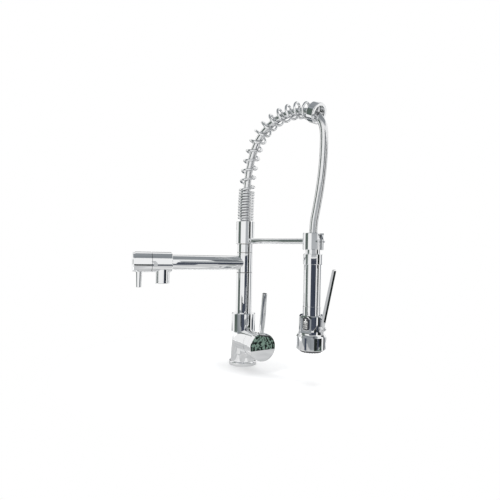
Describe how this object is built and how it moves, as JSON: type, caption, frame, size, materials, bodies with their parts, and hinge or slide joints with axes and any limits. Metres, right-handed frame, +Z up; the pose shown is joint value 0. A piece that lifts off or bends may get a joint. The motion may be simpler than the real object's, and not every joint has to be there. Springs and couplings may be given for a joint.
{
  "type": "side spray kitchen faucet",
  "caption": "Deck-mounted kitchen mixer with a spring-arch hose to a hand spray held on a swinging arm, a side mixing lever and a swinging filler spout with its own valve.",
  "frame": {"origin": "centre of the tap's foot, on the worktop", "axes": "+Z up the column; +X from the column to the hand spray, in the plane of the spring arch; the side hub points to -18 degrees and the spout to -115 degrees in plan at rest"},
  "size_m": [0.3233, 0.2319, 0.4964],
  "materials": {
    "polished_chrome": "mirror polished plating",
    "mirror_face": "flat mirror polish",
    "spring_chrome": "polished plated spring wire",
    "hose_sleeve": "fine braided metal sleeve",
    "rubber": "matt black",
    "seal_rubber": "lubricated seal rings",
    "brass": "machined",
    "dark_ring": "low friction plastic",
    "steel": "turned stainless steel",
    "stem_metal": "machined square bar",
    "white_plastic": "moulded",
    "button_grey": "satin grey"
  },
  "bodies": {
    "base": {"base_gasket": "rubber", "base_flange": "polished_chrome", "mixer_body": "polished_chrome", "mixer_cartridge": "white_plastic", "cartridge_nut": "brass", "bonnet": "polished_chrome", "core_tube": "brass", "core_nut": "brass", "seal_rings": "seal_rubber", "column_tube": "polished_chrome", "lower_slide_ring": "dark_ring", "middle_slide_ring": "dark_ring", "upper_slide_ring": "dark_ring", "spacer_sleeve": "polished_chrome"},
    "mixer_spindle": {"cartridge_turret": "white_plastic", "flow_pin": "steel"},
    "mixer_lever": {"cartridge_stem": "stem_metal", "mixer_handle": "polished_chrome", "handle_face": "mirror_face", "handle_lever": "polished_chrome", "handle_grub": "steel"},
    "spout": {"swivel_tee": "polished_chrome", "spout_tube": "polished_chrome", "filler_housing": "polished_chrome", "filler_cartridge": "white_plastic", "aerator_shell": "polished_chrome", "aerator_insert": "white_plastic"},
    "filler_knob": {"filler_spindle": "steel", "filler_sleeve": "polished_chrome", "filler_pin": "polished_chrome", "filler_screw": "steel", "filler_cap": "polished_chrome"},
    "arm": {"arm_collar": "polished_chrome", "spring_seat": "brass", "arm_rod": "polished_chrome", "arm_washer": "polished_chrome", "spray_holder": "polished_chrome", "holder_catches": "steel", "spring": "spring_chrome", "arch_hose": "hose_sleeve", "end_ring": "polished_chrome"},
    "hose_end": {"hose_ferrule": "polished_chrome", "swivel_clip": "steel", "spray_hose": "hose_sleeve"},
    "hand_spray": {"swivel_nut": "polished_chrome", "spray_grip": "polished_chrome", "neck_ring": "polished_chrome", "spray_housing": "polished_chrome", "nozzle_ring": "polished_chrome", "spray_face": "rubber", "water_plate": "white_plastic", "spray_pin": "steel"},
    "spray_trigger": {"spray_lever": "polished_chrome"},
    "spray_valve": {"valve_stem": "steel"},
    "spray_button": {"mode_button": "button_grey"}
  },
  "joints": [
    {"name": "temperature", "type": "hinge", "parent": "base", "child": "mixer_spindle", "pos_m": [0.03424, -0.01112, 0.0487], "axis": [0.9511, -0.309, 0], "range_deg": [-45, 45]},
    {"name": "flow", "type": "hinge", "parent": "mixer_spindle", "child": "mixer_lever", "pos_m": [0.03424, -0.01112, 0.0487], "axis": [0.309, 0.9511, 0], "range_deg": [0, 16]},
    {"name": "spout_swivel", "type": "hinge", "parent": "base", "child": "spout", "pos_m": [0, 0, 0.201], "axis": [0, 0, 1], "range_deg": [-100, 40]},
    {"name": "filler_turn", "type": "hinge", "parent": "spout", "child": "filler_knob", "pos_m": [-0.07734, -0.16585, 0.201], "axis": [-0.4226, -0.9063, 0], "range_deg": [0, 90]},
    {"name": "arm_swivel", "type": "hinge", "parent": "base", "child": "arm", "pos_m": [0, 0, 0.2485], "axis": [0, 0, 1], "range_deg": [-40, 100]},
    {"name": "spray_pull", "type": "slide", "parent": "arm", "child": "hose_end", "axis": [0, 0, -1], "range_m": [0, 0.04], "stiffness_N_per_m": 120, "springref_m": -0.15, "deforming": ["spray_hose"]},
    {"name": "spray_turn", "type": "hinge", "parent": "hose_end", "child": "hand_spray", "pos_m": [0.169, 0, 0.213], "axis": [0, 0, 1], "continuous": true},
    {"name": "spray_squeeze", "type": "hinge", "parent": "hand_spray", "child": "spray_trigger", "pos_m": [0.191, 0, 0.095], "axis": [0, -1, 0], "range_deg": [0, 11], "stiffness_Nm_per_rad": 0.5, "springref_deg": -11.46},
    {"name": "valve_push", "type": "slide", "parent": "hand_spray", "child": "spray_valve", "axis": [-1, 0, 0], "range_m": [0, 0.0026]},
    {"name": "mode_press", "type": "slide", "parent": "hand_spray", "child": "spray_button", "axis": [-0.1392, 0.9903, 0], "range_m": [0, 0.0015], "stiffness_N_per_m": 300, "springref_m": -0.002}
  ],
  "couplings": [
    {"joint": "valve_push", "follows": "spray_squeeze", "m_per_rad": 0.013}
  ]
}
